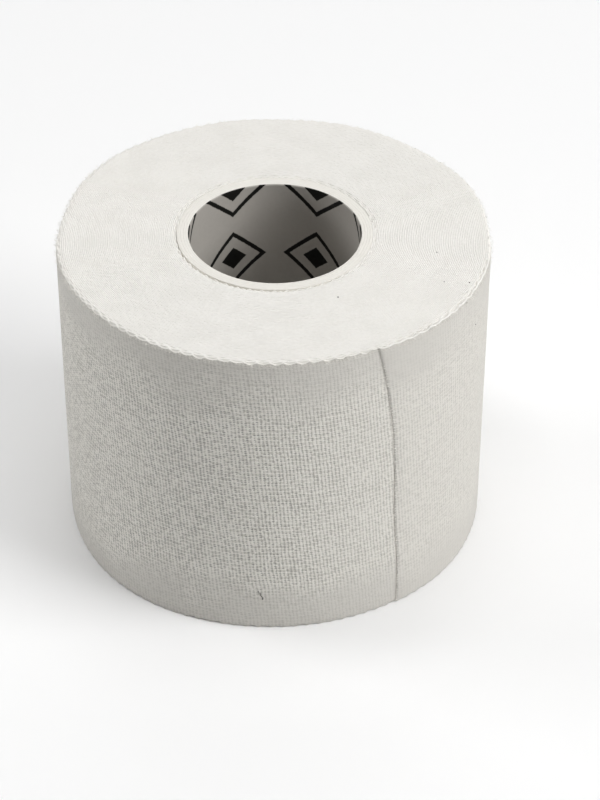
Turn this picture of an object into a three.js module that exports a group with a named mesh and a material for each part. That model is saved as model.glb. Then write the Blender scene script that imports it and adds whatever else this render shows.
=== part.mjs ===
// A roll of athletic tape: one strip of woven cotton with pinked edges, wound round a paper core.
// The roll stands on one end face. Lengths are in millimetres, +Z is the roll's axis, and the origin
// is the middle of the face that the roll stands on. The camera's side of the roll is -Y.
import * as THREE from "three";

// Driving dimensions.
const TAPE_WIDTH = 50;
const TAPE_LENGTH = 10000;
const ROLL_RADIUS = 32.5; // to the outside of the last turn, at its cut end
const BORE_RADIUS = 13.1;
const CORE_WALL = 2;
const CORE_EDGE_ROUND = 0.4;
const SEAT_GAP = 0.3; // clearance between the core and the first turn
const RIM_ROUND = 0.9; // how the outer turns' edges ease over at both ends of the roll
const TOOTH_PITCH = 1.85; // the pinked edge's teeth, along the tape
const TOOTH_DEPTH = 0.4;

// The tape's cut end: how far round from the front of the roll it lies, at each height.
const CUT_END = [
  { height: 0, round: 19.9 },
  { height: 9, round: 19.8 },
  { height: 17, round: 19.0 },
  { height: 27, round: 18.8 },
  { height: 35, round: 18.2 },
  { height: 43, round: 16.9 },
  { height: 50, round: 15.3 },
];

// How finely the curved faces are divided.
const CORE_SIDES = 72;
const COLUMNS_PER_TOOTH = 2;
const WALL_BANDS = 8;
const ROUND_DIVISIONS = 1;

// Finishes: both pieces are matt.
const PAPER = { color: 0xe8e4dc, roughness: 0.9, metalness: 0 };
const COTTON = { color: 0xe6e4dd, roughness: 0.95, metalness: 0 };

const CORE_RADIUS = BORE_RADIUS + CORE_WALL;
const WINDING_BORE_RADIUS = CORE_RADIUS + SEAT_GAP;
const WOUND_AREA = Math.PI * (ROLL_RADIUS ** 2 - CORE_RADIUS ** 2);
const TAPE_THICKNESS = WOUND_AREA / TAPE_LENGTH;
const TEETH_ROUND = Math.round((2 * Math.PI * ROLL_RADIUS) / TOOTH_PITCH);
const COLUMNS = TEETH_ROUND * COLUMNS_PER_TOOTH;
const FRONT_ANGLE = -Math.PI / 2;

const cutEndCurve = new THREE.SplineCurve(
  CUT_END.map(({ height, round }) => new THREE.Vector2(height, round)),
);

// The angle at which the cut end lies, at a height above the base.
function cutEndAngle(height) {
  const last = CUT_END.length - 1;
  const next = Math.max(1, CUT_END.findIndex((row) => row.height >= height));
  const below = CUT_END[next - 1].height;
  const share = (height - below) / (CUT_END[next].height - below);
  const round = cutEndCurve.getPoint((next - 1 + share) / last).y;
  return FRONT_ANGLE + round / ROLL_RADIUS;
}

// The section through the winding on one side of the axis, as (radius, height) points. It runs out
// along the base, up the outer wall and back in along the top, and closes down the inner wall.
function windingSection() {
  const roundCentre = ROLL_RADIUS - RIM_ROUND;
  const section = new THREE.Path();
  section.moveTo(WINDING_BORE_RADIUS, 0);
  section.lineTo(roundCentre, 0);
  section.absarc(roundCentre, RIM_ROUND, RIM_ROUND, -Math.PI / 2, 0);
  for (let band = 1; band < WALL_BANDS; band += 1) {
    const height = THREE.MathUtils.lerp(RIM_ROUND, TAPE_WIDTH - RIM_ROUND, band / WALL_BANDS);
    section.lineTo(ROLL_RADIUS, height);
  }
  section.lineTo(ROLL_RADIUS, TAPE_WIDTH - RIM_ROUND);
  section.absarc(roundCentre, TAPE_WIDTH - RIM_ROUND, RIM_ROUND, 0, Math.PI / 2);
  section.lineTo(WINDING_BORE_RADIUS, TAPE_WIDTH);
  return section.getPoints(ROUND_DIVISIONS);
}

// True for a point on a flat end face, where each turn lies level with the next.
function isOnEndFace(point) {
  return point.y === 0 || point.y === TAPE_WIDTH;
}

// The height of a section point between two teeth, where the pinked edge is cut back.
function notchedHeight(point) {
  const outward = (point.x - (ROLL_RADIUS - RIM_ROUND)) / RIM_ROUND;
  const cut = TOOTH_DEPTH * THREE.MathUtils.clamp(outward, 0, 1);
  if (point.y <= RIM_ROUND) return point.y + cut;
  if (point.y >= TAPE_WIDTH - RIM_ROUND) return point.y - cut;
  return point.y;
}

// A section point carried round to a column. The wall draws in by one tape's thickness in one turn,
// and the columns lean with the cut end, so that the first and the last one lie along it.
function windingPoint(point, column) {
  const turned = column / COLUMNS;
  const isBore = point.x === WINDING_BORE_RADIUS;
  const isNotch = column % COLUMNS_PER_TOOTH === 1;
  const radius = isOnEndFace(point) ? point.x : point.x - TAPE_THICKNESS * turned;
  const start = isBore ? FRONT_ANGLE : cutEndAngle(point.y);
  const angle = start + 2 * Math.PI * turned;
  const height = isNotch ? notchedHeight(point) : point.y;
  return new THREE.Vector3(radius * Math.cos(angle), radius * Math.sin(angle), height);
}

// The winding: the section swept once round the axis along the spiral, then closed along the step
// that the cut end leaves between the last column and the first.
function windingGeometry() {
  const section = windingSection();
  const rows = section.length;
  const points = [];
  for (let column = 0; column <= COLUMNS; column += 1) {
    for (const point of section) {
      points.push(windingPoint(point, column));
    }
  }

  // End-face points are the same in the first and the last column, so they are used once.
  const vertex = (column, row) => {
    const isShared = column === COLUMNS && isOnEndFace(section[row]);
    return (isShared ? 0 : column) * rows + row;
  };

  const faces = [];
  for (let column = 0; column < COLUMNS; column += 1) {
    for (let row = 0; row < rows; row += 1) {
      const above = (row + 1) % rows;
      faces.push(vertex(column, row), vertex(column + 1, row), vertex(column + 1, above));
      faces.push(vertex(column, row), vertex(column + 1, above), vertex(column, above));
    }
  }
  for (let row = 0; row < rows - 1; row += 1) {
    const corners = [
      vertex(COLUMNS, row),
      vertex(0, row),
      vertex(0, row + 1),
      vertex(COLUMNS, row + 1),
    ];
    if (corners[0] !== corners[1]) faces.push(corners[0], corners[1], corners[2]);
    if (corners[2] !== corners[3]) faces.push(corners[0], corners[2], corners[3]);
  }

  const geometry = new THREE.BufferGeometry().setFromPoints(points);
  geometry.setIndex(faces);
  geometry.computeVertexNormals();
  return geometry;
}

// The core: a length of paper tube with lightly crushed edges.
function coreGeometry() {
  const low = CORE_EDGE_ROUND;
  const high = TAPE_WIDTH - CORE_EDGE_ROUND;
  const inner = BORE_RADIUS + CORE_EDGE_ROUND;
  const outer = CORE_RADIUS - CORE_EDGE_ROUND;
  const wall = new THREE.Path();
  wall.moveTo(inner, 0);
  wall.lineTo(outer, 0);
  wall.absarc(outer, low, CORE_EDGE_ROUND, -Math.PI / 2, 0);
  wall.lineTo(CORE_RADIUS, high);
  wall.absarc(outer, high, CORE_EDGE_ROUND, 0, Math.PI / 2);
  wall.lineTo(inner, TAPE_WIDTH);
  wall.absarc(inner, high, CORE_EDGE_ROUND, Math.PI / 2, Math.PI);
  wall.lineTo(BORE_RADIUS, low);
  wall.absarc(inner, low, CORE_EDGE_ROUND, Math.PI, 1.5 * Math.PI);
  return new THREE.LatheGeometry(wall.getPoints(ROUND_DIVISIONS), CORE_SIDES);
}

function makeCore() {
  const core = new THREE.Mesh(coreGeometry(), new THREE.MeshStandardMaterial(PAPER));
  core.name = "paper_core";
  core.rotation.x = Math.PI / 2; // the lathe turns about Y, and the tube stands along Z
  return core;
}

function makeWinding() {
  const winding = new THREE.Mesh(windingGeometry(), new THREE.MeshStandardMaterial(COTTON));
  winding.name = "wound_tape";
  return winding;
}

const roll = new THREE.Group();
roll.name = "athletic_tape_roll";
roll.add(makeCore(), makeWinding());

export default roll;
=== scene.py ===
"""A roll of athletic tape: ten metres of white woven cotton with pinked edges, wound on a paper core.

Lengths are in metres. The roll stands on one end face with its axis along +Z, and the camera looks
from the -Y side. MM turns the sizes that are written in millimetres into metres.
"""

import math
import random

import bpy
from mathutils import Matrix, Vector


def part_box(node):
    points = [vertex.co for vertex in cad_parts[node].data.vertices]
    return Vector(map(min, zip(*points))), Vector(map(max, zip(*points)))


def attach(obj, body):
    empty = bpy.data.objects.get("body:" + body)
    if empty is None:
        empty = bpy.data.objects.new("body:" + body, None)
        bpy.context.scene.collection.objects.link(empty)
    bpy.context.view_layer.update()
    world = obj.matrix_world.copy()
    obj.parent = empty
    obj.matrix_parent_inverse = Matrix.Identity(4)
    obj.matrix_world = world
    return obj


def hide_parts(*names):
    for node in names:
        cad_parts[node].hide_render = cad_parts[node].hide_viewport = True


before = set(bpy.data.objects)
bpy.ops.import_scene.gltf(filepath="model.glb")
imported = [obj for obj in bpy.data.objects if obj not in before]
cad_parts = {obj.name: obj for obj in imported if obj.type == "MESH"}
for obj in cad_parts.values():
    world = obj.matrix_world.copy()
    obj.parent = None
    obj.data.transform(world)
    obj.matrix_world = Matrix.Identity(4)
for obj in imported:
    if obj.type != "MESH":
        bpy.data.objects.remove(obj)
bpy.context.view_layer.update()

MM = 0.001

# The camera stands in front of the roll and above it, at the photograph's viewing angle. The roll's
# axis lies a little left of the middle of the frame, which the shift follows.
CAMERA_PLACE = (0, -312.1 * MM, 261.0 * MM)
CAMERA_LOOKS_DOWN = math.radians(37.87)
CAMERA_LENS = 113.76
CAMERA_SENSOR = 36
FRAME_WIDTH, FRAME_HEIGHT = 600, 800
ROLL_AXIS_COLUMN = 273.7
CAMERA_NEAR = 10 * MM


def add_object(name, data):
    """Adds an object that shows a mesh, a lamp or a camera."""
    added = bpy.data.objects.new(name, data)
    bpy.context.scene.collection.objects.link(added)
    return added


camera_data = bpy.data.cameras.new("photo_camera")
camera_data.sensor_fit = "VERTICAL"
camera_data.sensor_height = CAMERA_SENSOR
camera_data.lens = CAMERA_LENS
camera_data.shift_x = (FRAME_WIDTH / 2 - ROLL_AXIS_COLUMN) / FRAME_HEIGHT
camera_data.clip_start = CAMERA_NEAR
camera = add_object("photo_camera", camera_data)
camera.location = CAMERA_PLACE
camera.rotation_euler = (math.pi / 2 - CAMERA_LOOKS_DOWN, 0, 0)
bpy.context.scene.camera = camera
bpy.context.scene.view_settings.view_transform = "Standard"


# The core is a short length of paper tube, wound from several plies of board and cut to the tape's
# width, so its ends show the plies as fine rings. Its bore is faced with thin paper, printed in black
# with a plain lattice of lozenges.
CORE_LOW, CORE_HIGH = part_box("paper_core")
CORE_HEIGHT = CORE_HIGH[2] - CORE_LOW[2]
CORE_RADIUS = 14.85 * MM
BORE_RADIUS = 13.0 * MM
CORE_OUTER_ROUND = 0.07 * MM
CORE_INNER_ROUND = 0.3 * MM
CORE_ROUND_STEPS = 5
CORE_COLUMNS = 192
CORE_ROWS = 12
CORE_UNEVEN = 0.05 * MM
CORE_UNEVEN_WAVES = ((2, 0.6, 1), (5, 2.0, 0.5))
CORE_SHIFT = 0.17 * MM
CORE_SQUASH = 0.015
BOARD_PLY = 0.4 * MM
BOARD_RELIEF = 0.03 * MM
BOARD_FIBRES_SCALE = 900
BOARD_GLUE_LINE = (0.02, 0.2)
BOARD_MOTTLE = (0.1, 0.6)
BOARD_PALE = (0.835, 0.812, 0.757, 1)
BOARD_DARK = (0.80, 0.775, 0.72, 1)
LINER_PAPER = (0.525, 0.50, 0.463, 1)
LINER_PAPER_DULL = (0.475, 0.45, 0.412, 1)
LINER_INK = (0.006, 0.006, 0.005, 1)
LOZENGES_ROUND = 6
LOZENGE_PITCH_UP = 12.5 * MM
LOZENGE_HALF_WIDTH = 5.6 * MM
LOZENGE_HALF_HEIGHT = 5.0 * MM
LOZENGE_LINE = 0.18
LOZENGE_HEART = 0.42
LOZENGE_BLUR = 0.02
INK_GRAIN_SCALE = 2500
INK_RAGGEDNESS = 0.05
LINER_FIBRES_SCALE = 1400
LINER_RELIEF = 0.01 * MM
MATT_SPECULAR = 0.25


def feed(tree, socket, value):
    """Links a node's input to another node's output, or sets it to a plain value."""
    if isinstance(value, bpy.types.NodeSocket):
        tree.links.new(value, socket)
    else:
        socket.default_value = value


def maths(tree, operation, *values, kind="ShaderNodeMath"):
    """Adds a Math node, feeds it sockets or numbers in order, and returns its output."""
    node = tree.nodes.new(kind)
    node.operation = operation
    for socket, value in zip(node.inputs, values):
        feed(tree, socket, value)
    return node.outputs[0]


def eased(tree, value, low, high):
    """0 below low and 1 above high, with a smooth step between."""
    node = tree.nodes.new("ShaderNodeMapRange")
    node.interpolation_type = "SMOOTHSTEP"
    tree.links.new(value, node.inputs["Value"])
    node.inputs["From Min"].default_value = low
    node.inputs["From Max"].default_value = high
    return node.outputs[0]


def blended(tree, share, first, second):
    """A colour between two colours or colour sockets."""
    node = tree.nodes.new("ShaderNodeMix")
    node.data_type = "RGBA"
    # Inputs 6 and 7 and output 2 are the node's colours.
    for number, value in ((0, share), (6, first), (7, second)):
        feed(tree, node.inputs[number], value)
    return node.outputs[2]


def noise(tree, place, scale, detail=2.0):
    """A smooth random number, mostly from 0.3 to 0.7, at a place."""
    node = tree.nodes.new("ShaderNodeTexNoise")
    node.inputs["Scale"].default_value = scale
    node.inputs["Detail"].default_value = detail
    tree.links.new(place, node.inputs["Vector"])
    return node.outputs[0]


def parts_of(tree, vector):
    """The x, y and z of a vector, as sockets."""
    node = tree.nodes.new("ShaderNodeSeparateXYZ")
    tree.links.new(vector, node.inputs[0])
    return node.outputs


def surface_map(tree, name):
    """A piece's own map, as one socket and as its two parts."""
    uv = tree.nodes.new("ShaderNodeUVMap")
    uv.uv_map = name
    u, v, _ = parts_of(tree, uv.outputs[0])
    return uv.outputs[0], u, v


def new_finish(name, roughness, sheen=0.0):
    """A material with its node tree and its shader, for a pattern to be added to."""
    material = bpy.data.materials.new(name)
    material.use_nodes = True
    shader = material.node_tree.nodes["Principled BSDF"]
    shader.inputs["Roughness"].default_value = roughness
    shader.inputs["Specular IOR Level"].default_value = MATT_SPECULAR
    shader.inputs["Sheen Weight"].default_value = sheen
    return material, material.node_tree, shader


def raise_surface(tree, shader, height):
    """Gives the shader a relief whose height is in metres."""
    bump = tree.nodes.new("ShaderNodeBump")
    bump.inputs["Distance"].default_value = 1.0
    tree.links.new(height, bump.inputs["Height"])
    tree.links.new(bump.outputs[0], shader.inputs["Normal"])


def core_board():
    """Pale board whose plies show as rings about the axis."""
    material, tree, shader = new_finish("core_board", roughness=0.85)
    place = tree.nodes.new("ShaderNodeTexCoord").outputs["Object"]
    x, y, _ = parts_of(tree, place)
    squares = maths(tree, "MULTIPLY_ADD", x, x, maths(tree, "MULTIPLY", y, y))
    radius = maths(tree, "SQRT", squares)
    fibres = noise(tree, place, BOARD_FIBRES_SCALE, detail=4)
    wobble = maths(tree, "MULTIPLY", fibres, 0.5)
    plies = maths(tree, "ADD", maths(tree, "DIVIDE", radius, BOARD_PLY), wobble)
    pale = eased(tree, maths(tree, "PINGPONG", plies, 0.5), *BOARD_GLUE_LINE)
    mottled = maths(tree, "MULTIPLY", pale, eased(tree, fibres, *BOARD_MOTTLE))
    tree.links.new(blended(tree, mottled, BOARD_DARK, BOARD_PALE), shader.inputs["Base Color"])
    relief = maths(tree, "ADD", pale, fibres)
    raise_surface(tree, shader, maths(tree, "MULTIPLY", relief, BOARD_RELIEF))
    return material


def printed_liner():
    """Thin paper with the lattice printed on it: lines along the lozenges and a heart in each."""
    material, tree, shader = new_finish("printed_liner", roughness=0.6)
    sheet, around, up = surface_map(tree, "bore_print")
    pitch_round = 2 * math.pi * BORE_RADIUS / LOZENGES_ROUND
    from_middle = maths(tree, "PINGPONG", around, pitch_round / 2)
    from_row = maths(tree, "PINGPONG", up, LOZENGE_PITCH_UP / 2)
    reach_round = maths(tree, "DIVIDE", from_middle, LOZENGE_HALF_WIDTH)
    reach_up = maths(tree, "DIVIDE", from_row, LOZENGE_HALF_HEIGHT)
    reach = maths(tree, "ADD", reach_round, reach_up)
    reach = maths(tree, "MULTIPLY_ADD", noise(tree, sheet, INK_GRAIN_SCALE), INK_RAGGEDNESS, reach)
    from_line = maths(tree, "ABSOLUTE", maths(tree, "SUBTRACT", reach, 1 - LOZENGE_LINE / 2))
    line = eased(tree, from_line, LOZENGE_LINE / 2 + LOZENGE_BLUR, LOZENGE_LINE / 2 - LOZENGE_BLUR)
    heart = eased(tree, reach, LOZENGE_HEART + LOZENGE_BLUR, LOZENGE_HEART - LOZENGE_BLUR)
    ink = maths(tree, "MAXIMUM", line, heart)
    fibres = noise(tree, sheet, LINER_FIBRES_SCALE, detail=4)
    paper = blended(tree, fibres, LINER_PAPER, LINER_PAPER_DULL)
    tree.links.new(blended(tree, ink, paper, LINER_INK), shader.inputs["Base Color"])
    raise_surface(tree, shader, maths(tree, "MULTIPLY", fibres, LINER_RELIEF))
    return material


def quarter_round(centre_radius, centre_height, size, start):
    """Points along a quarter circle in the (radius, height) plane, counterclockwise from start."""
    turns = [start + math.pi / 2 * step / CORE_ROUND_STEPS for step in range(CORE_ROUND_STEPS + 1)]
    return [
        (centre_radius + size * math.cos(turn), centre_height + size * math.sin(turn)) for turn in turns
    ]


def core_outline():
    """The tube wall's section: up the outside, in over the top, down the bore and out at the foot."""
    outer, inner = CORE_OUTER_ROUND, CORE_INNER_ROUND
    outline = quarter_round(CORE_RADIUS - outer, outer, outer, -math.pi / 2)
    outline += quarter_round(CORE_RADIUS - outer, CORE_HEIGHT - outer, outer, 0)
    outline += quarter_round(BORE_RADIUS + inner, CORE_HEIGHT - inner, inner, math.pi / 2)
    drop = (CORE_HEIGHT - 2 * inner) / CORE_ROWS
    outline += [(BORE_RADIUS, CORE_HEIGHT - inner - drop * row) for row in range(1, CORE_ROWS)]
    outline += quarter_round(BORE_RADIUS + inner, inner, inner, math.pi)
    return outline


def saw_dip(turn):
    """How far the sawn top end lies below its highest point, in waves round the tube."""
    waves = sum(share * math.sin(count * turn + start) for count, start, share in CORE_UNEVEN_WAVES)
    highest = sum(share for _, _, share in CORE_UNEVEN_WAVES)
    return CORE_UNEVEN * (highest - waves) / 2


def add_map(mesh, name, places):
    """Gives the mesh a map, with a place for each corner of its faces in order."""
    new_map = mesh.uv_layers.new(name=name)
    for corner, place in zip(new_map.data, places):
        corner.uv = place


def core_mesh():
    """The outline turned round the axis: the tube is pressed a little oval and lies a little to one
    side, and its top end is uneven, as the saw leaves it."""
    outline = core_outline()
    rows = len(outline)
    points, faces, on_bore, slots = [], [], [], []
    for column in range(CORE_COLUMNS):
        turn = 2 * math.pi * column / CORE_COLUMNS
        for radius, height in outline:
            dip = saw_dip(turn) if height > CORE_HEIGHT / 2 else 0
            across = radius * math.cos(turn) * (1 - CORE_SQUASH) + CORE_SHIFT
            points.append((across, radius * math.sin(turn), height - dip))
    for column in range(CORE_COLUMNS):
        beside = (column + 1) % CORE_COLUMNS
        for row in range(rows):
            above = (row + 1) % rows
            faces.append(
                (column * rows + row, beside * rows + row, beside * rows + above, column * rows + above)
            )
            for around, up in ((column, row), (column + 1, row), (column + 1, above), (column, above)):
                arc = 2 * math.pi * around / CORE_COLUMNS * BORE_RADIUS
                on_bore.append((arc, outline[up][1]))
            in_bore = max(outline[row][0], outline[above][0]) < BORE_RADIUS + 0.5 * CORE_INNER_ROUND
            slots.append(1 if in_bore else 0)
    mesh = bpy.data.meshes.new("paper_core_tube")
    mesh.from_pydata(points, [], faces)
    add_map(mesh, "bore_print", on_bore)
    mesh.polygons.foreach_set("material_index", slots)
    mesh.shade_smooth()
    return mesh


core = add_object("paper_core_tube", core_mesh())
core.data.materials.append(core_board())
core.data.materials.append(printed_liner())
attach(core, "root")
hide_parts("paper_core")


# The wound turns are the tape itself, a strip of plain-woven cotton cloth coated with adhesive, both
# long edges cut with pinking blades. It is wound in one spiral out from the core, each turn on the
# last, so the roll's end faces are the pinked edges of some 66 turns.
TAPE_LOW, TAPE_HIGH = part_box("wound_tape")
TAPE_WIDTH = TAPE_HIGH[2] - TAPE_LOW[2]
TAPE_LENGTH = 10.0
ROLL_RADIUS = 32.5 * MM
FIRST_RADIUS = CORE_RADIUS + 0.02 * MM
WIND_PITCH = math.pi * (ROLL_RADIUS**2 - FIRST_RADIUS**2) / TAPE_LENGTH
CLOTH_THICKNESS = 0.985 * WIND_PITCH
TEETH_ROUND = 110
ONE_TURN = 2 * math.pi * ROLL_RADIUS
TOOTH_PITCH = ONE_TURN / TEETH_ROUND
LAST_TURN_TEETH = 123
LAST_TURN_LENGTH = LAST_TURN_TEETH * TOOTH_PITCH
LAST_TURN_TURNS = LAST_TURN_TEETH / TEETH_ROUND
PRESSED_TOOTH_DEPTH = 0.03 * MM
CORE_TOOTH_DEPTH = 0.5 * MM
CORE_TOOTH_LENGTH = 0.25
RIM_TOOTH_DEPTH = 0.2 * MM
RIM_TOOTH_LENGTH = 0.6
TOOTH_CHANCE = (0.5, 1.5)
TOOTH_NUMBERS_APART = 1000.0
TOOTH_SEED = 4
TURN_WANDER = 0.016 * MM
TURN_WANDER_SCALE = 9.0
SPIRAL_STEPS = 240
RIM_ROUND = 0.9 * MM
RIM_EASE = 0.6
FOOT_EASE = 0.2
RIM_EASE_DEPTH = 2.5 * MM
CORE_DIP = 0.16 * MM
CORE_DIP_SIDE = math.radians(-118)
CORE_DIP_WIDTH = 1.0 * MM
SWELL = 0.1 * MM
SWELL_SIDE = 0.35
SEAT_CLOSED = 0.8
SEAT_WIDTH = 3 * MM
CUT_FOOT_ARC = 19.9 * MM
CUT_END_ANGLE = CUT_FOOT_ARC / ROLL_RADIUS - math.pi / 2
START_ANGLE = CUT_END_ANGLE + 2 * math.pi * (ROLL_RADIUS - FIRST_RADIUS) / WIND_PITCH
END_FACE_MIDDLE = 0.25
END_FACE_SHARE = 0.243
CELLS_ACROSS, CELLS_UP = 160, 290
CELL_CORNERS = ((0.1, 0.1), (0.9, 0.1), (0.9, 0.9), (0.1, 0.9))
CUT_FIBRES_PALE = (0.895, 0.876, 0.834, 1)
CUT_FIBRES_DULL = (0.86, 0.841, 0.797, 1)
ADHESIVE_PALE = (0.80, 0.78, 0.73, 1)
ADHESIVE_DULL = (0.74, 0.72, 0.67, 1)
CUT_FIBRES_GRAIN = 0.5 * MM
ADHESIVE_GRAIN = 0.8 * MM
GRAIN_RELIEF = 0.02 * MM
MOTTLE_SCALE = 220
MOTTLE_EDGE = (0.8, 1.2)

# Where the rim stands out or in: the middle and width of each stretch in degrees, and how far it
# stands out in millimetres.
RIM_STRETCHES = (
    (141, 14, 0.3),
    (113, 10, 0.1),
    (88, 8, -0.25),
    (65, 12, 0.25),
    (27, 10, 0.35),
    (2, 9, -0.35),
    (171, 13, -0.55),
)
# Where the rim is eased over more or less than elsewhere, in the same way, as an added share.
EASED_STRETCHES = ((-118, 18, 0.4), (-65, 14, -0.25))
# Where the foot stands out, in the same way.
FOOT_STRETCHES = ((-130, 26, 0.55), (-35, 20, 0.15))


def mottled_finish(name, pale, dull, grain, relief):
    """A finish that wanders between two colours, with a fine rough grain of a size and a height."""
    material, tree, shader = new_finish(name, roughness=0.95, sheen=0.1)
    place = tree.nodes.new("ShaderNodeTexCoord").outputs["Object"]
    broad = noise(tree, place, MOTTLE_SCALE, detail=3)
    fine = noise(tree, place, 1 / grain, detail=3)
    share = eased(tree, maths(tree, "ADD", broad, fine), *MOTTLE_EDGE)
    tree.links.new(blended(tree, share, pale, dull), shader.inputs["Base Color"])
    raise_surface(tree, shader, maths(tree, "MULTIPLY", fine, relief))
    return material


def shape_tree(name, sizes):
    """A Geometry Nodes tree that takes a ground to grow on and a named input for each size."""
    tree = bpy.data.node_groups.new(name, "GeometryNodeTree")
    tree.interface.new_socket(name="Shape", in_out="OUTPUT", socket_type="NodeSocketGeometry")
    tree.interface.new_socket(name="Ground", in_out="INPUT", socket_type="NodeSocketGeometry")
    kinds = {int: "NodeSocketInt", float: "NodeSocketFloat", bpy.types.Material: "NodeSocketMaterial"}
    for label, value in sizes.items():
        tree.interface.new_socket(name=label, in_out="INPUT", socket_type=kinds[type(value)])
    return tree, tree.nodes.new("NodeGroupInput").outputs


def shape_node(tree, kind, inputs, **settings):
    """Adds a geometry node, sets its options, feeds its named inputs and returns the node."""
    node = tree.nodes.new(kind)
    for option, value in settings.items():
        setattr(node, option, value)
    for label, value in inputs.items():
        socket = next(s for s in node.inputs if s.name == label and s.enabled)
        feed(tree, socket, value)
    return node


def vector_of(tree, **parts):
    """A vector with the parts X, Y and Z that are given, the others 0."""
    return shape_node(tree, "ShaderNodeCombineXYZ", parts).outputs[0]


def point_place(tree):
    """Where each point of the shape lies."""
    return tree.nodes.new("GeometryNodeInputPosition").outputs[0]


def close_shape(tree, shape, *finishes):
    """Ends a tree: instances made real, each finish set where it belongs, and the shape put out."""
    shape = shape_node(tree, "GeometryNodeRealizeInstances", {"Geometry": shape}).outputs[0]
    for material, where in finishes:
        inputs = {"Geometry": shape, "Material": material, "Selection": where}
        shape = shape_node(tree, "GeometryNodeSetMaterial", inputs).outputs[0]
    tree.links.new(shape, tree.nodes.new("NodeGroupOutput").inputs[0])


def grown_mesh(name, tree, sizes, start=None):
    """Runs a tree on a mesh, or on nothing, and returns the result as a plain mesh."""
    ground = add_object(name + "_ground", start or bpy.data.meshes.new(name + "_ground"))
    growth = ground.modifiers.new(tree.name, "NODES")
    growth.node_group = tree
    for socket in tree.interface.items_tree:
        if socket.in_out == "INPUT" and socket.name in sizes:
            growth[socket.identifier] = sizes[socket.name]
    grown = ground.evaluated_get(bpy.context.evaluated_depsgraph_get())
    mesh = bpy.data.meshes.new_from_object(grown)
    mesh.name = name
    ground.modifiers.remove(growth)
    bpy.data.objects.remove(ground)
    return mesh


def wound_turns_tree(sizes):
    """The strip swept along its spiral, with the teeth of both edges."""
    tree, given = shape_tree("wound_turns", sizes)

    # The spiral, with a point at each tip and notch of the teeth.
    span = maths(tree, "SUBTRACT", given["Last radius"], given["First radius"])
    turns = maths(tree, "DIVIDE", span, given["Wind pitch"])
    spiral_sizes = {
        "Resolution": SPIRAL_STEPS,
        "Rotations": turns,
        "Start Radius": given["First radius"],
        "End Radius": given["Last radius"],
        "Height": 0.0,
    }
    spiral = shape_node(tree, "GeometryNodeCurveSpiral", spiral_sizes)
    half_teeth = {"Curve": spiral.outputs[0], "Length": maths(tree, "DIVIDE", given["Tooth pitch"], 2)}
    stepped = shape_node(tree, "GeometryNodeResampleCurve", half_teeth, mode="LENGTH")
    upright = shape_node(tree, "GeometryNodeSetCurveNormal", {"Curve": stepped.outputs[0]}, mode="Z_UP")

    keep = tree.nodes.new("GeometryNodeCaptureAttribute")
    keep.capture_items.new("FLOAT", "along")
    keep.capture_items.new("INT", "column")
    tree.links.new(upright.outputs[0], keep.inputs["Geometry"])
    tree.links.new(tree.nodes.new("GeometryNodeSplineParameter").outputs["Length"], keep.inputs["along"])
    tree.links.new(tree.nodes.new("GeometryNodeInputIndex").outputs[0], keep.inputs["column"])
    along, column = keep.outputs["along"], keep.outputs["column"]

    # The strip swept along it.
    section_sizes = {"Width": given["Thickness"], "Height": given["Tape width"]}
    section = shape_node(tree, "GeometryNodeCurvePrimitiveQuadrilateral", section_sizes)
    sweep = {"Curve": keep.outputs["Geometry"], "Profile Curve": section.outputs[0], "Fill Caps": True}
    strip = shape_node(tree, "GeometryNodeCurveToMesh", sweep)

    # Teeth of uneven depth, deepest by the core and the rim, where the edges aren't pressed flat.
    side = maths(tree, "SIGN", parts_of(tree, point_place(tree))[2])
    tooth = maths(tree, "MULTIPLY_ADD", side, TOOTH_NUMBERS_APART, column)
    least, most = TOOTH_CHANCE
    chance_inputs = {"Min": least, "Max": most, "ID": tooth, "Seed": given["Seed"]}
    chance = shape_node(tree, "FunctionNodeRandomValue", chance_inputs, data_type="FLOAT")
    is_notch = maths(tree, "MODULO", column, 2.0)
    to_end = maths(tree, "SUBTRACT", given["Length"], along)
    depth = given["Tooth depth"]
    for place, distance in (("Core", along), ("Rim", to_end)):
        share = maths(tree, "DIVIDE", distance, given[place + " tooth length"])
        near = maths(tree, "MAXIMUM", maths(tree, "SUBTRACT", 1.0, share), 0.0)
        depth = maths(tree, "MULTIPLY_ADD", near, given[place + " tooth depth"], depth)
    notch = maths(tree, "MULTIPLY", is_notch, depth)
    notch = maths(tree, "MULTIPLY", notch, chance.outputs["Value"])
    walk_inputs = {"W": along, "Scale": TURN_WANDER_SCALE, "Detail": 3.0}
    walk = shape_node(tree, "ShaderNodeTexNoise", walk_inputs, noise_dimensions="1D")
    wander = maths(tree, "MULTIPLY", maths(tree, "MULTIPLY", walk.outputs[0], given["Wander"]), side)
    inward = maths(tree, "MULTIPLY", maths(tree, "ADD", notch, wander), side)
    lift = maths(tree, "SUBTRACT", maths(tree, "MULTIPLY", given["Tape width"], 0.5), inward)
    moved = {"Geometry": strip.outputs[0], "Offset": vector_of(tree, Z=lift)}
    toothed = shape_node(tree, "GeometryNodeSetPosition", moved)

    # Turned until its end meets the last turn.
    spin = maths(tree, "MULTIPLY_ADD", maths(tree, "FRACT", turns), 2 * math.pi, given["End angle"])
    spun = {"Geometry": toothed.outputs[0], "Rotation": vector_of(tree, Z=spin)}
    turned = shape_node(tree, "GeometryNodeTransform", spun)

    normal = tree.nodes.new("GeometryNodeInputNormal").outputs[0]
    is_edge = maths(tree, "GREATER_THAN", maths(tree, "ABSOLUTE", parts_of(tree, normal)[2]), 0.5)
    close_shape(tree, turned.outputs[0], (given["Stuck faces"], True), (given["Cut edges"], is_edge))
    return tree


def nearness(distance, reach):
    """1 at no distance, falling smoothly to 0 at the reach."""
    return max(0, 1 - distance / reach) ** 2


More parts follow.
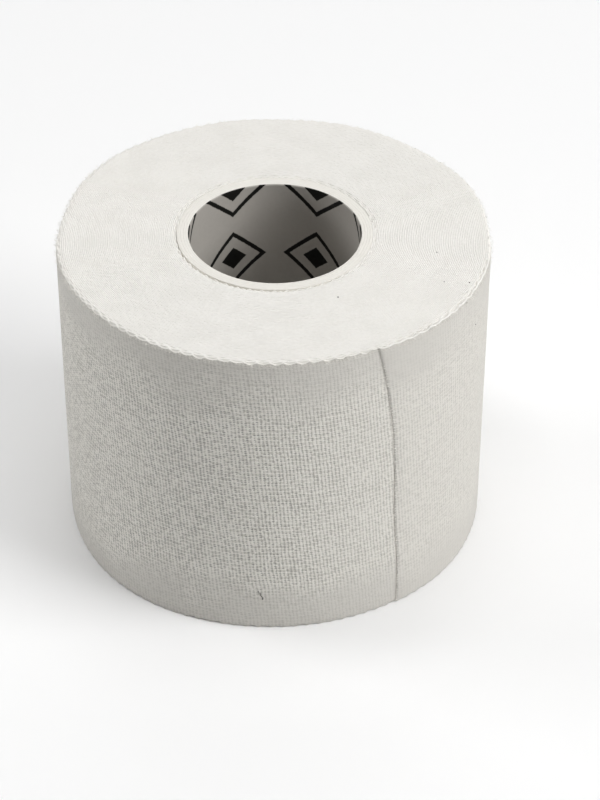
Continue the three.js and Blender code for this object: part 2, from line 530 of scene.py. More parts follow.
def hills(angle, stretches):
    """The sum of smooth hills round the roll, each with a middle and a width in degrees."""
    total = 0
    for middle, width, height in stretches:
        away = (math.degrees(angle) - middle + 180) % 360 - 180
        total += height * math.exp(-((away / width) ** 2))
    return total


def settle(mesh):
    """Moves an evenly wound mesh to where the turns come to lie on a real roll."""
    for vertex in mesh.vertices:
        x, y, z = vertex.co
        radius, angle = math.hypot(x, y), math.atan2(y, x)
        upness = z / TAPE_WIDTH

        # The rims are eased over.
        past = min(max(0, radius - ROLL_RADIUS + RIM_ROUND), RIM_ROUND)
        fall = RIM_ROUND - math.sqrt(RIM_ROUND**2 - past**2)
        near_top = nearness(TAPE_WIDTH - z, RIM_EASE_DEPTH)
        near_foot = nearness(z, RIM_EASE_DEPTH)
        z -= fall * (RIM_EASE + hills(angle, EASED_STRETCHES)) * near_top
        z += fall * FOOT_EASE * near_foot

        # The first turns are drawn in to the core, and both faces dip to it on one side.
        loose = WIND_PITCH * ((START_ANGLE - angle) / (2 * math.pi) % 1)
        drawn_in = SEAT_CLOSED * loose * nearness(radius - FIRST_RADIUS, SEAT_WIDTH)
        near_core = nearness(radius - FIRST_RADIUS, CORE_DIP_WIDTH)
        low_side = max(0, math.cos(angle - CORE_DIP_SIDE))
        end_face = TAPE_WIDTH if upness > 0.5 else 0
        dip = CORE_DIP * (1 - 2 * upness)
        z += near_core * ((end_face - z) * (1 - low_side) + dip * low_side)

        # The roll is out of round: it leans a little and swells here and there.
        swell = SWELL * (1 + math.cos(angle - SWELL_SIDE) * (1 - 2 * upness))
        swell += hills(angle, RIM_STRETCHES) * MM * upness**2
        swell += hills(angle, FOOT_STRETCHES) * MM * (1 - upness) ** 3
        stretch = 1 + (swell * (radius / ROLL_RADIUS) ** 2 - drawn_in) / radius
        inner = max(0, (ROLL_RADIUS - radius) / (ROLL_RADIUS - FIRST_RADIUS))
        across = x * (1 - CORE_SQUASH * inner) + CORE_SHIFT * inner
        vertex.co = (across * stretch, y * stretch, z)


def lay_out_wound_turns(mesh):
    """Adds the map for baking: the two end faces of the roll side by side as they are seen, and the
    stuck faces, which can't be seen, in small cells above them."""
    places = []
    cells = 0
    for polygon in mesh.polygons:
        if abs(polygon.normal.z) > 0.5:
            middle = END_FACE_MIDDLE if polygon.normal.z > 0 else 1 - END_FACE_MIDDLE
            for vertex in polygon.vertices:
                place = mesh.vertices[vertex].co / ROLL_RADIUS * END_FACE_SHARE
                places.append((middle + place.x, END_FACE_MIDDLE + place.y))
        else:
            row, column = divmod(cells, CELLS_ACROSS)
            for x, y in CELL_CORNERS:
                up = 2 * END_FACE_MIDDLE + (row + y) / CELLS_UP
                places.append(((column + x) / CELLS_ACROSS, up))
            cells += 1
    add_map(mesh, "OFBake", places)


cut_fibres = mottled_finish(
    "cut_fibres", CUT_FIBRES_PALE, CUT_FIBRES_DULL, CUT_FIBRES_GRAIN, GRAIN_RELIEF
)
adhesive = mottled_finish("adhesive_side", ADHESIVE_PALE, ADHESIVE_DULL, ADHESIVE_GRAIN, GRAIN_RELIEF)
wound_sizes = {
    "First radius": FIRST_RADIUS + WIND_PITCH / 2,
    "Last radius": ROLL_RADIUS - WIND_PITCH * (LAST_TURN_TURNS + 0.5),
    "Wind pitch": WIND_PITCH,
    "Thickness": CLOTH_THICKNESS,
    "Tape width": TAPE_WIDTH,
    "Tooth pitch": TOOTH_PITCH,
    "Tooth depth": PRESSED_TOOTH_DEPTH,
    "Core tooth depth": CORE_TOOTH_DEPTH,
    "Core tooth length": CORE_TOOTH_LENGTH,
    "Rim tooth depth": RIM_TOOTH_DEPTH,
    "Rim tooth length": RIM_TOOTH_LENGTH,
    "Length": TAPE_LENGTH - LAST_TURN_LENGTH,
    "Wander": TURN_WANDER,
    "End angle": CUT_END_ANGLE + 2 * math.pi * LAST_TURN_TURNS,
    "Seed": TOOTH_SEED,
    "Stuck faces": adhesive,
    "Cut edges": cut_fibres,
}
wound_turns_mesh = grown_mesh("wound_turns", wound_turns_tree(wound_sizes), wound_sizes)
settle(wound_turns_mesh)
lay_out_wound_turns(wound_turns_mesh)
wound_turns = add_object("wound_turns", wound_turns_mesh)
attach(wound_turns, "root")
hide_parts("wound_tape")


# The last turn of the tape is the only one that shows its woven face. Its end is cut across, a little
# on the slant, and its adhesive holds it pressed down on the turn below.
LAST_TURN_SEED = 7
TOOTH_SHAPE = (0, 0.5, 0.9, 1, 0.9, 0.5)
COLUMNS_PER_TOOTH = len(TOOTH_SHAPE)
FOOT_TOOTH_DEPTH = 0.24 * MM
TOP_TOOTH_DEPTH = 0.34 * MM
TOOTH_SPREAD = 0.45
TOOTH_REACH = 2.2 * MM
EDGE_ROWS = (0, 0.25, 0.5, 0.8, 1.2, 1.7, 2.4, 3.4, 5.0)
MIDDLE_ROWS = 12
RIM_LEAN = 0.08 * MM
RIM_LEAN_DEPTH = 1.2 * MM
END_PRESS = 0.12 * MM
END_PRESS_LENGTH = 1.2 * MM
CUT_SLANT_LENGTH = 30 * MM
WEFT_PITCH = 0.55 * MM
WARP_PITCH = 0.34 * MM
WEFT_SKEW = 0.1
WEAVE_RELIEF = 0.08 * MM
YARN_DRIFT = 0.5 * MM
YARN_DRIFT_SCALE = 160
YARN_JITTER = 0.25 * MM
YARN_JITTER_SCALE = 1100
YARN_ROUNDNESS = 1.8
YARN_BULK_SPREAD = 0.12
KNUCKLE_SPREAD = 0.9
SLUB_SPREAD = 0.9
SLUB_SCALE = 2600
WARP_PAIRING = 0.45
PORE_SPREAD = 0.5
PORE_EDGE = (0.45, 1.0)
PORE_SINK = 0.7
WARP_SEED, WEFT_SEED, KNUCKLE_SEED, PORE_SEED = 11, 37, 5, 23
SHADE_EDGE = (-0.6, 0.5)
SHADE_SPREAD = 0.4
SHADE_SCALE = 260
# The cloth's own colour is the pale one, on the yarns' crowns. The darker yarn colour is painted shade
# on the yarns' low sides, and the darkest is painted shade in the open pores between the yarns.
COTTON_PALE = (0.905, 0.883, 0.822, 1)
COTTON_SHADED = (0.70, 0.678, 0.62, 1)
COTTON_PORE_SHADE = (0.43, 0.413, 0.372, 1)
COTTON_RUBBED = (0.668, 0.646, 0.602, 1)
RUBBED_SHARE = 0.6
RUBBED_END = (35 * MM, 75 * MM)
RUBBED_BELOW = (24 * MM, 4 * MM)
RUBBED_BELOW_SHARE = 0.7
# A duller colour towards the top rim; along the foot the same colour is painted shade where the roll
# stands on the floor.
COTTON_DULL_AND_FOOT_SHADE = (0.62, 0.60, 0.56, 1)
DULL_AND_FOOT_SHADE_SHARE = 0.72
DULLER_TOWARDS_RIM = (11 * MM, 1.5 * MM)
FOOT_SHADE_BAND = (10 * MM, 2 * MM)
EDGE_BANDS_UNEVEN = 18 * MM
EDGE_BANDS_SCALE = 70

# The cut end: how far round from the roll's front it lies at each height, all in millimetres.
CUT_END = ((0, 19.9), (9, 19.8), (17, 19.0), (27, 18.8), (35, 18.2), (43, 16.9), (50, 15.3))

# The map for baking lays a whole turn out as four quarters in two rows, with what can't be seen
# squeezed into a strip beside them, and the two ends above them.
QUARTER_TURN = ONE_TURN / 4
MAP_GAP = 1.2 * MM
MAP_HIDDEN = 5 * MM
MAP_END_STRETCH = 1.8
MAP_SIZE = 2 * (QUARTER_TURN + MAP_GAP) + MAP_HIDDEN


def random_of(tree, seed, *numbers):
    """A random number from 0 to 1 that stays the same within one cell of whole numbers."""
    cell = tree.nodes.new("ShaderNodeCombineXYZ")
    cell.inputs[2].default_value = seed
    for number, socket in zip(numbers, cell.inputs):
        tree.links.new(maths(tree, "FLOOR", number), socket)
    node = tree.nodes.new("ShaderNodeTexWhiteNoise")
    tree.links.new(cell.outputs[0], node.inputs["Vector"])
    return node.outputs["Value"]


def wavering(tree, place, scale, detail=2.0):
    """A smooth random number, mostly from -0.2 to 0.2, at a place."""
    return maths(tree, "SUBTRACT", noise(tree, place, scale, detail), 0.5)


def yarn_height(tree, wave, crossing_wave, side, bulk):
    """One set of yarns: its rise over and under, its round section, and how thick each one is."""
    rise = maths(tree, "MULTIPLY", wave, maths(tree, "SIGN", crossing_wave))
    crown = maths(tree, "MULTIPLY", maths(tree, "MULTIPLY", side, side), -YARN_ROUNDNESS)
    section = maths(tree, "MULTIPLY_ADD", bulk, YARN_BULK_SPREAD, crown)
    return maths(tree, "MULTIPLY_ADD", rise, 0.5, section)


def plain_weave(tree, strip, along, across):
    """How high the yarns stand, and how open the weave is between them."""
    drift = wavering(tree, strip, YARN_DRIFT_SCALE)
    jitter = wavering(tree, strip, YARN_JITTER_SCALE)
    stray = maths(tree, "MULTIPLY_ADD", drift, YARN_DRIFT, maths(tree, "MULTIPLY", jitter, YARN_JITTER))
    skewed = maths(tree, "MULTIPLY_ADD", across, WEFT_SKEW, along)
    weft = maths(tree, "DIVIDE", maths(tree, "ADD", skewed, stray), WEFT_PITCH)
    warp = maths(tree, "DIVIDE", maths(tree, "SUBTRACT", across, stray), WARP_PITCH)

    weft_wave = maths(tree, "SINE", maths(tree, "MULTIPLY", weft, math.pi))
    warp_wave = maths(tree, "SINE", maths(tree, "MULTIPLY", warp, math.pi))
    weft_side = maths(tree, "SUBTRACT", maths(tree, "PINGPONG", weft, 0.5), 0.5)
    warp_side = maths(tree, "SUBTRACT", maths(tree, "PINGPONG", warp, 0.5), 0.5)
    under_wave = maths(tree, "MULTIPLY", warp_wave, -1)
    warp_bulk = random_of(tree, WARP_SEED, warp)
    weft_bulk = random_of(tree, WEFT_SEED, weft)
    warp_yarns = yarn_height(tree, weft_wave, warp_wave, warp_side, warp_bulk)
    weft_yarns = yarn_height(tree, under_wave, weft_wave, weft_side, weft_bulk)
    woven = maths(tree, "MAXIMUM", warp_yarns, weft_yarns)
    knuckle = maths(tree, "SUBTRACT", random_of(tree, KNUCKLE_SEED, weft, warp), 0.5)
    woven = maths(tree, "MULTIPLY_ADD", knuckle, KNUCKLE_SPREAD, woven)
    woven = maths(tree, "MULTIPLY_ADD", warp_wave, WARP_PAIRING, woven)
    woven = maths(tree, "MULTIPLY_ADD", wavering(tree, strip, SLUB_SCALE, 3), SLUB_SPREAD, woven)

    corner = maths(tree, "MULTIPLY", maths(tree, "MULTIPLY", weft_side, warp_side), 4)
    next_weft, next_warp = (maths(tree, "ADD", yarns, 0.5) for yarns in (weft, warp))
    openness = random_of(tree, PORE_SEED, next_weft, next_warp)
    pore = eased(tree, maths(tree, "MULTIPLY_ADD", openness, PORE_SPREAD, corner), *PORE_EDGE)
    return woven, pore


def wear_and_foot_shade(tree, strip, along, across):
    """How far the cloth is rubbed on both sides of the cut end, where a thumb pressed it; how far it
    turns duller and flatter towards its top rim; and a band of painted shade along its foot, where the
    roll stands on the floor."""
    end_near, end_far = (CUT_FOOT_ARC + reach for reach in RUBBED_END)
    under_end = CUT_FOOT_ARC + ONE_TURN
    below_far, below_near = (under_end - reach for reach in RUBBED_BELOW)
    below = maths(tree, "MULTIPLY", eased(tree, along, below_far, below_near), RUBBED_BELOW_SHARE)
    rubbed = maths(tree, "MAXIMUM", eased(tree, along, end_far, end_near), below)

    rim_far, rim_near = (TAPE_WIDTH - reach for reach in DULLER_TOWARDS_RIM)
    patches = wavering(tree, strip, EDGE_BANDS_SCALE, detail=4)
    height = maths(tree, "MULTIPLY_ADD", patches, EDGE_BANDS_UNEVEN, across)
    # A band of painted shade along the foot, where the roll stands on the floor.
    near_foot = eased(tree, height, *FOOT_SHADE_BAND)
    dull_rim_and_foot_shade = maths(tree, "MAXIMUM", eased(tree, height, rim_far, rim_near), near_foot)
    return (
        maths(tree, "MULTIPLY", rubbed, RUBBED_SHARE),
        maths(tree, "MULTIPLY", dull_rim_and_foot_shade, DULL_AND_FOOT_SHADE_SHARE),
    )


def cotton_cloth():
    """Plain weave on the strip's own map, where u runs along the tape and v across it, in metres. The
    yarns' low sides and the pores between them are darker, as painted shade. Rubbing near the cut end
    makes it flatter, it turns a little duller and flatter towards the top edge, and along the foot a
    band of painted shade darkens and flattens it."""
    material, tree, shader = new_finish("cotton_cloth", roughness=0.95, sheen=0.1)
    strip, along, across = surface_map(tree, "strip")
    woven, pore = plain_weave(tree, strip, along, across)
    rubbed, dull_rim_and_foot_shade = wear_and_foot_shade(tree, strip, along, across)

    # Colour follows the yarns' height. The crowns are pale, and the low sides and the pores take darker
    # colours as painted shade where the weave dips; mottle, knuckles and slubs add tone that differs at
    # random.
    mottle = wavering(tree, strip, SHADE_SCALE, detail=3)
    pale = eased(tree, maths(tree, "MULTIPLY_ADD", mottle, SHADE_SPREAD, woven), *SHADE_EDGE)
    colour = blended(tree, pale, COTTON_SHADED, COTTON_PALE)
    colour = blended(tree, pore, colour, COTTON_PORE_SHADE)
    colour = blended(tree, rubbed, colour, COTTON_RUBBED)
    # Duller towards the top rim, and darker along the foot as painted shade.
    colour = blended(tree, dull_rim_and_foot_shade, colour, COTTON_DULL_AND_FOOT_SHADE)
    tree.links.new(colour, shader.inputs["Base Color"])

    relief = maths(tree, "MULTIPLY_ADD", pore, -PORE_SINK, woven)
    for worn in (rubbed, dull_rim_and_foot_shade):
        relief = maths(tree, "MULTIPLY", relief, maths(tree, "SUBTRACT", 1.0, worn))
    raise_surface(tree, shader, maths(tree, "MULTIPLY", relief, WEAVE_RELIEF))
    return material


def cut_end_arc(height):
    """How far round from the roll's front the cut lies at a height, along the outer face."""
    for (low, low_arc), (high, high_arc) in zip(CUT_END, CUT_END[1:]):
        if height <= high * MM:
            share = (height / MM - low) / (high - low)
            return (low_arc + (high_arc - low_arc) * share) * MM
    return CUT_END[-1][1] * MM


def last_turn_rows():
    """Heights of the rows of points up the outer face, close together towards both edges."""
    low = [row * MM for row in EDGE_ROWS]
    step = (TAPE_WIDTH - 2 * low[-1]) / MIDDLE_ROWS
    middle = [low[-1] + step * row for row in range(1, MIDDLE_ROWS)]
    return low + middle + [TAPE_WIDTH - row for row in reversed(low)]


def last_turn_point(along, height, depth, notches=(0, 0)):
    """A point at a length along the last turn from its cut end, and at a depth below its face, and
    where it lies on the strip."""
    slant = nearness(along, CUT_SLANT_LENGTH)
    arc = along + CUT_FOOT_ARC + (cut_end_arc(height) - CUT_FOOT_ARC) * slant
    from_top = TAPE_WIDTH - height
    radius = ROLL_RADIUS - WIND_PITCH * along / ONE_TURN - depth
    radius -= RIM_LEAN * (nearness(from_top, RIM_LEAN_DEPTH) + nearness(height, RIM_LEAN_DEPTH))
    if depth < CLOTH_THICKNESS:
        radius -= END_PRESS * nearness(along, END_PRESS_LENGTH)
    z = height + notches[0] * nearness(height, TOOTH_REACH)
    z -= notches[1] * nearness(from_top, TOOTH_REACH)
    angle = -math.pi / 2 + arc / ROLL_RADIUS
    return (radius * math.cos(angle), radius * math.sin(angle), z), (arc, z)


def last_turn_mesh():
    """Both faces and the edges of the last turn, with the strip's map and the map for baking."""
    chance = random.Random(LAST_TURN_SEED)
    heights = last_turn_rows()
    rows = len(heights)
    loop = [(height, 0) for height in heights] + [(height, CLOTH_THICKNESS) for height in heights[::-1]]
    around = len(loop)
    columns = LAST_TURN_TEETH * COLUMNS_PER_TOOTH
    step = TOOTH_PITCH / COLUMNS_PER_TOOTH

    points, on_strip = [], []
    for column in range(columns + 1):
        place_in_tooth = column % COLUMNS_PER_TOOTH
        if place_in_tooth == 0:
            spreads = (1 - TOOTH_SPREAD, 1 + TOOTH_SPREAD)
            depths = [depth * chance.uniform(*spreads) for depth in (FOOT_TOOTH_DEPTH, TOP_TOOTH_DEPTH)]
        notches = [TOOTH_SHAPE[place_in_tooth] * depth for depth in depths]
        for height, depth in loop:
            point, strip_place = last_turn_point(column * step, height, depth, notches)
            points.append(point)
            on_strip.append(strip_place)

    def seen_place(panel, column, row):
        """On the map for baking, where a corner of a seen face lies."""
        beyond = TAPE_WIDTH + MAP_GAP / 4 if row == rows else -MAP_GAP / 4
        height = heights[row] if row < rows else beyond
        x = (panel % 2) * (QUARTER_TURN + MAP_GAP) + MAP_GAP / 2 + column * step - panel * QUARTER_TURN
        y = (panel // 2) * (TAPE_WIDTH + MAP_GAP) + MAP_GAP / 2 + height
        return x / MAP_SIZE, y / MAP_SIZE

    def hidden_place(column, row):
        """On the map for baking, where a corner of a hidden face lies."""
        x = MAP_SIZE - MAP_HIDDEN + (MAP_HIDDEN - MAP_GAP) * row / around
        return x / MAP_SIZE, column / columns

    def end_place(end, row, is_inner):
        """On the map for baking, where a corner of one of the two ends lies."""
        y = 2 * (TAPE_WIDTH + MAP_GAP) + MAP_GAP * (1 + 2 * end + is_inner)
        return (MAP_GAP + heights[row] * MAP_END_STRETCH) / MAP_SIZE, y / MAP_SIZE

    faces, finishes, for_baking = [], [], []
    for column in range(columns):
        panel = int((column + 0.5) * step / QUARTER_TURN)
        for row in range(around):
            corners = [(column, row), (column + 1, row), (column + 1, row + 1), (column, row + 1)]
            faces.append([c * around + r % around for c, r in corners])
            is_face = row < rows - 1
            is_edge = row in (rows - 1, around - 1)
            finishes.append(0 if is_face else 1 if is_edge else 2)
            if panel < 4 and (is_face or is_edge):
                for_baking += [seen_place(panel, c, r % around) for c, r in corners]
            else:
                for_baking += [hidden_place(c, r) for c, r in corners]
    for end, first in enumerate((0, columns * around)):
        for row in range(rows - 1):
            corners = [(row, 0), (row + 1, 0), (row + 1, 1), (row, 1)]
            if end == 1:
                corners.reverse()
            faces.append([first + (around - 1 - r if is_inner else r) for r, is_inner in corners])
            finishes.append(1)
            for_baking += [end_place(end, r, is_inner) for r, is_inner in corners]

    mesh = bpy.data.meshes.new("last_turn")
    mesh.from_pydata(points, [], faces)
    add_map(mesh, "strip", [on_strip[corner.vertex_index] for corner in mesh.loops])
    add_map(mesh, "OFBake", for_baking)
    mesh.polygons.foreach_set("material_index", finishes)
    mesh.shade_smooth()
    return mesh


last_turn = add_object("last_turn", last_turn_mesh())
settle(last_turn.data)
for finish in (cotton_cloth(), cut_fibres, adhesive):
    last_turn.data.materials.append(finish)
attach(last_turn, "root")
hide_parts("wound_tape")


# The cut end frays a little: between the blades' snips the ends of the warp yarns stand out of it by
# up to half a millimetre and lie on the turn below.
YARN_END_SEED = 3
YARN_END_SPACING = 0.5 * MM
YARN_END_LENGTH = 0.42 * MM
YARN_END_ROOT = 0.16 * MM
YARN_END_RADIUS = 0.1 * MM
YARN_END_TIP = 0.06 * MM
YARN_END_SCATTER = 0.35
YARN_END_SHORTEST = 0.45
YARN_END_SIDES = 7
YARN_END_DEPTH = 0.2
YARN_GRAIN = 0.15 * MM
YARN_RELIEF = 0.03 * MM
CUT_LINE_STEPS = 100
CUT_LINE_MARGIN = 0.01


def settled_points(name, points, joined=False):
    """A mesh of loose points, or of one line through them, moved to where the turns come to lie."""
    mesh = bpy.data.meshes.new(name)
    lines = [(first, first + 1) for first in range(len(points) - 1)] if joined else []
    mesh.from_pydata(points, lines, [])
    settle(mesh)
    return mesh


def vector_maths(tree, operation, *values):
    """The same as maths, for a node that reckons with vectors."""
    return maths(tree, operation, *values, kind="ShaderNodeVectorMath")


def grow_on_points(tree, given, points, shape, direction, scatter, shortest):
    """Puts a shape on every point, pointing in a direction with a random lean and of random size."""
    lean_inputs = {"Min": (-1, -1, -1), "Max": (1, 1, 1), "Seed": given["Seed"]}
    lean = shape_node(tree, "FunctionNodeRandomValue", lean_inputs, data_type="FLOAT_VECTOR")
    lean = vector_maths(tree, "MULTIPLY", lean.outputs["Value"], (scatter, scatter, scatter))
    toward = vector_maths(tree, "ADD", vector_maths(tree, "NORMALIZE", direction), lean)
    turn = shape_node(tree, "FunctionNodeAlignRotationToVector", {"Vector": toward}, axis="Z")
    size_inputs = {"Min": shortest, "Max": 1.0, "Seed": given["Seed"]}
    size = shape_node(tree, "FunctionNodeRandomValue", size_inputs, data_type="FLOAT")
    inputs = {"Points": points, "Instance": shape, "Rotation": turn.outputs[0]}
    inputs["Scale"] = size.outputs["Value"]
    return shape_node(tree, "GeometryNodeInstanceOnPoints", inputs).outputs[0]


def yarn_ends_tree(sizes):
    """Stubs of yarn along the cut, standing out of it the way the tape would go on."""
    tree, given = shape_tree("yarn_ends", sizes)
    line = shape_node(tree, "GeometryNodeMeshToCurve", {"Mesh": given["Ground"]})
    spacing = {"Curve": line.outputs[0], "Length": given["Spacing"]}
    spaced = shape_node(tree, "GeometryNodeCurveToPoints", spacing, mode="LENGTH")
    cone_sizes = {
        "Vertices": YARN_END_SIDES,
        "Side Segments": 2,
        "Radius Top": given["Tip radius"],
        "Radius Bottom": given["Radius"],
        "Depth": given["Length"],
    }
    cone = shape_node(tree, "GeometryNodeMeshCone", cone_sizes)
    x, y, _ = parts_of(tree, point_place(tree))
    direction = vector_of(tree, X=y, Y=maths(tree, "MULTIPLY", x, -1))
    chances = (YARN_END_SCATTER, YARN_END_SHORTEST)
    ends = grow_on_points(tree, given, spaced.outputs[0], cone.outputs[0], direction, *chances)
    close_shape(tree, ends, (given["Yarn"], True))
    return tree


cut_line = []
for step in range(CUT_LINE_STEPS + 1):
    share = CUT_LINE_MARGIN + (1 - 2 * CUT_LINE_MARGIN) * step / CUT_LINE_STEPS
    place = last_turn_point(YARN_END_ROOT, TAPE_WIDTH * share, CLOTH_THICKNESS * YARN_END_DEPTH)[0]
    cut_line.append(place)
yarn_finish = mottled_finish("yarn_cotton", COTTON_PALE, ADHESIVE_PALE, YARN_GRAIN, YARN_RELIEF)
yarn_end_sizes = {
    "Spacing": YARN_END_SPACING,
    "Length": YARN_END_LENGTH,
    "Radius": YARN_END_RADIUS,
    "Tip radius": YARN_END_TIP,
    "Seed": YARN_END_SEED,
    "Yarn": yarn_finish,
}
cut_line_mesh = settled_points("cut_line", cut_line, joined=True)
yarn_ends_mesh = grown_mesh("yarn_ends", yarn_ends_tree(yarn_end_sizes), yarn_end_sizes, cut_line_mesh)
yarn_ends = add_object("yarn_ends", yarn_ends_mesh)
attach(yarn_ends, "root")
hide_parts("wound_tape")


# Pinking leaves cotton fibres standing out along both edges, and a few more rise from the woven face.
# Each is a hair of cotton held in the cloth at one end. A close fringe of short ones droops over the
# top rim, where the edge has been handled.
FIBRE_SEED = 12
FIBRE_LENGTH = 0.9 * MM
FIBRE_RADIUS = 0.011 * MM
FIBRE_RISE = 0.6
FIBRE_BEND = 0.4
FIBRE_STEPS = 5
FIBRE_SIDES = 3
FIBRE_SCATTER = 0.8
FIBRE_SHORTEST = 0.25
FIBRE_DROOP = 1.0
FIBRE_ROOT_DEPTH = 0.02 * MM
EDGE_FIBRES_BAND = (0.2, 1.0)
FACE_FIBRES_BAND = (0.02, 0.98)
EDGE_FIBRES = 260
FACE_FIBRES = 160
FOOT_FIBRES_RISE = 0.5 * MM
FRINGE_SEED = 31
FRINGE_LENGTH = 0.75 * MM
FRINGE_RADIUS = 0.02 * MM
FRINGE_DROOP = 2.3
FRINGE_FIBRES = 1700
FRINGE_BAND = (0.1, 0.5)


def fibres_tree(sizes):
    """Bent hairs that stand out from the roll and droop."""
    tree, given = shape_tree("fibres", sizes)
    bend = maths(tree, "MULTIPLY", given["Length"], FIBRE_BEND)
    rise = maths(tree, "MULTIPLY", given["Length"], FIBRE_RISE)
    arc_inputs = {
        "Resolution": FIBRE_STEPS,
        "Start": (0, 0, 0),
        "Middle": vector_of(tree, Z=rise),
        "End": vector_of(tree, X=bend, Z=rise),
    }
    arc = shape_node(tree, "GeometryNodeCurveQuadraticBezier", arc_inputs)
    round_inputs = {"Resolution": FIBRE_SIDES, "Radius": given["Radius"]}
    section = shape_node(tree, "GeometryNodeCurvePrimitiveCircle", round_inputs, mode="RADIUS")
    sweep = {"Curve": arc.outputs[0], "Profile Curve": section.outputs[0], "Fill Caps": True}
    fibre = shape_node(tree, "GeometryNodeCurveToMesh", sweep)
    spread = (1 / ROLL_RADIUS, 1 / ROLL_RADIUS, 2 / TAPE_WIDTH)
    direction = vector_maths(tree, "MULTIPLY", point_place(tree), spread)
    direction = vector_maths(tree, "SUBTRACT", direction, vector_of(tree, Z=given["Droop"]))
    chances = (FIBRE_SCATTER, FIBRE_SHORTEST)
    grown = grow_on_points(tree, given, given["Ground"], fibre.outputs[0], direction, *chances)
    close_shape(tree, grown, (given["Yarn"], True))
    return tree


def add_fibres(name, roots, length, radius, droop, seed):
    """Grows a fibre on each root and adds them all as one piece of the tape."""
    sizes = {"Length": length, "Radius": radius, "Droop": droop, "Seed": seed, "Yarn": yarn_finish}
    mesh = grown_mesh(name, fibres_tree(sizes), sizes, settled_points(name + "_roots", roots))
    fibres = add_object(name, mesh)
    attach(fibres, "root")
    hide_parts("wound_tape")


fibre_chance = random.Random(FIBRE_SEED)
fibre_roots = []
for number in range(EDGE_FIBRES + FACE_FIBRES):
    root_along = fibre_chance.uniform(0, ONE_TURN)
    from_edge = fibre_chance.uniform(*EDGE_FIBRES_BAND) * MM
    edge_height = TAPE_WIDTH - from_edge if number % 3 else from_edge + FOOT_FIBRES_RISE
    on_edge = number < EDGE_FIBRES
    root_height = edge_height if on_edge else fibre_chance.uniform(*FACE_FIBRES_BAND) * TAPE_WIDTH
    fibre_roots.append(last_turn_point(root_along, root_height, FIBRE_ROOT_DEPTH)[0])
add_fibres("loose_fibres", fibre_roots, FIBRE_LENGTH, FIBRE_RADIUS, FIBRE_DROOP, FIBRE_SEED)

fringe_chance = random.Random(FRINGE_SEED)
fringe_roots = []
for number in range(FRINGE_FIBRES):
    root_along = fringe_chance.uniform(0, ONE_TURN)
    root_height = TAPE_WIDTH - fringe_chance.uniform(*FRINGE_BAND) * MM
    fringe_roots.append(last_turn_point(root_along, root_height, FIBRE_ROOT_DEPTH)[0])
add_fibres("fringe_fibres", fringe_roots, FRINGE_LENGTH, FRINGE_RADIUS, FRINGE_DROOP, FRINGE_SEED)


# A few flecks of dark lint are caught in the tape: one short fleck low on the front, and specks on
# the top face and the wall.
FLECK_SEED = 8
FLECK_RADIUS = 0.15 * MM
FLECK_SHAPE = (1, 0.6, 0.8)
FLECK_BUMPS_SCALE = 9000.0
FLECK_SCATTER = 0.6
FLECK_SHORTEST = 0.6
FLECK_GRAIN = 0.05 * MM
FLECK_DARK = (0.045, 0.04, 0.035, 1)
FLECK_PALE = (0.12, 0.11, 0.1, 1)

# The flecks on the wall, each with its angle round the roll in degrees and its height in millimetres,
# and those on the top face, each with its x and y in millimetres.
WALL_FLECKS = (
    (-94.05, 7.3),
    (-93.9, 7.0),
    (-93.55, 6.8),
    (-93.5, 6.5),
    (-93.2, 6.3),
    (-92.95, 6.05),
    (-92.9, 5.8),
    (-24.1, 43.0),
)
TOP_FLECKS = ((24.1, -5.4), (24.7, -12.9), (28.3, -13.1), (9.2, -16.7))


def flecks_tree(sizes):
    """Flat ragged lumps."""
    tree, given = shape_tree("flecks", sizes)
    lump = shape_node(tree, "GeometryNodeMeshIcoSphere", {"Radius": given["Radius"], "Subdivisions": 2})
    place = point_place(tree)
    bumps = shape_node(tree, "ShaderNodeTexNoise", {"Vector": place, "Scale": FLECK_BUMPS_SCALE})
    swell = maths(tree, "ADD", bumps.outputs[0], 0.5)
    stretched = vector_maths(tree, "MULTIPLY", place, FLECK_SHAPE)
    swollen = {"Vector": stretched, "Scale": swell}
    scaled = shape_node(tree, "ShaderNodeVectorMath", swollen, operation="SCALE")
    moved = {"Geometry": lump.outputs[0], "Position": scaled.outputs[0]}
    ragged = shape_node(tree, "GeometryNodeSetPosition", moved)
    outward = point_place(tree)
    chances = (FLECK_SCATTER, FLECK_SHORTEST)
    grown = grow_on_points(tree, given, given["Ground"], ragged.outputs[0], outward, *chances)
    close_shape(tree, grown, (given["Lint"], True))
    return tree


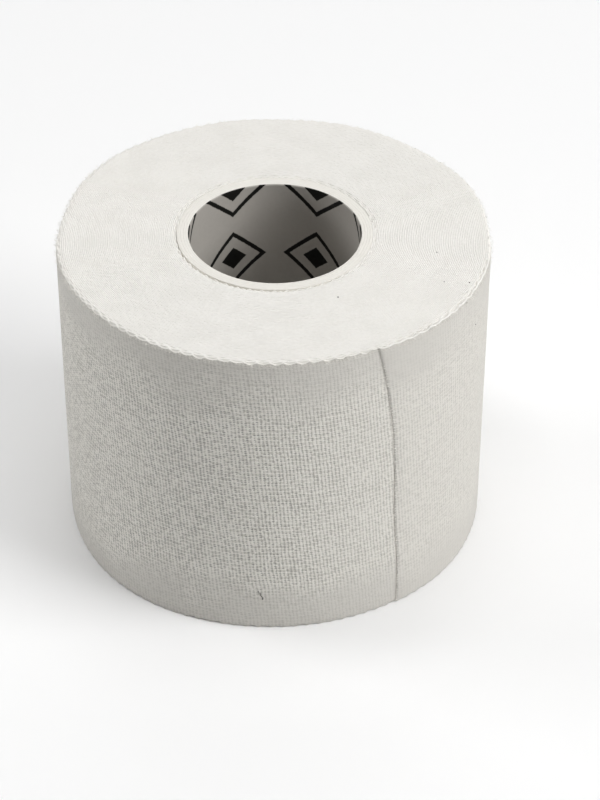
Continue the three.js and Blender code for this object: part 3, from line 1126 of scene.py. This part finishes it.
fleck_places = []
for angle, height in WALL_FLECKS:
    arc = (math.radians(angle + 90) * ROLL_RADIUS - CUT_FOOT_ARC) % ONE_TURN
    fleck_places.append(last_turn_point(arc, height * MM, 0)[0])
for x, y in TOP_FLECKS:
    fleck_places.append((x * MM, y * MM, TAPE_WIDTH))
lint_finish = mottled_finish("dark_lint", FLECK_PALE, FLECK_DARK, FLECK_GRAIN, GRAIN_RELIEF)
fleck_sizes = {"Radius": FLECK_RADIUS, "Seed": FLECK_SEED, "Lint": lint_finish}
flecks_mesh = grown_mesh(
    "lint_flecks", flecks_tree(fleck_sizes), fleck_sizes, settled_points("fleck_places", fleck_places)
)
lint_flecks = add_object("lint_flecks", flecks_mesh)
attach(lint_flecks, "root")
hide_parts("wound_tape")


# The floor is a plain pale sheet under the roll. The light is a pale studio's: a large lamp on the
# right, a larger one overhead, and weak ones low on the left and behind.
FLOOR_HALF = 3.0
FLOOR_COLOUR = (0.95, 0.95, 0.95, 1)
ROOM_LIGHT = 0.04

# Each lamp's name, its azimuth and elevation in degrees, its distance and size in metres, its power.
LAMPS = (
    ("right_lamp", 72, 35, 1.2, 0.7, 9.1),
    ("overhead_lamp", 20, 86, 1.3, 0.9, 8.2),
    ("left_lamp", -105, 25, 1.2, 0.5, 4.6),
    ("back_lamp", 180, 50, 1.2, 0.7, 1.9),
)

floor_mesh = bpy.data.meshes.new("floor")
floor_corners = [(x * FLOOR_HALF, y * FLOOR_HALF, 0) for x, y in ((-1, -1), (1, -1), (1, 1), (-1, 1))]
floor_mesh.from_pydata(floor_corners, [], [(0, 1, 2, 3)])
floor = add_object("floor", floor_mesh)
floor_finish, _, floor_shader = new_finish("floor", roughness=0.9)
floor_shader.inputs["Base Color"].default_value = FLOOR_COLOUR
floor.data.materials.append(floor_finish)

for name, azimuth, elevation, distance, size, power in LAMPS:
    lamp_data = bpy.data.lights.new(name, "AREA")
    lamp_data.energy = power
    lamp_data.size = size
    lamp = add_object(name, lamp_data)
    side, up = math.radians(azimuth), math.radians(elevation)
    toward = Vector((math.sin(side) * math.cos(up), -math.cos(side) * math.cos(up), math.sin(up)))
    lamp.location = toward * distance
    lamp.rotation_euler = toward.to_track_quat("Z", "Y").to_euler()

world = bpy.data.worlds.new("white_room")
world.use_nodes = True
world.node_tree.nodes["Background"].inputs["Color"].default_value = (1, 1, 1, 1)
world.node_tree.nodes["Background"].inputs["Strength"].default_value = ROOM_LIGHT
bpy.context.scene.world = world
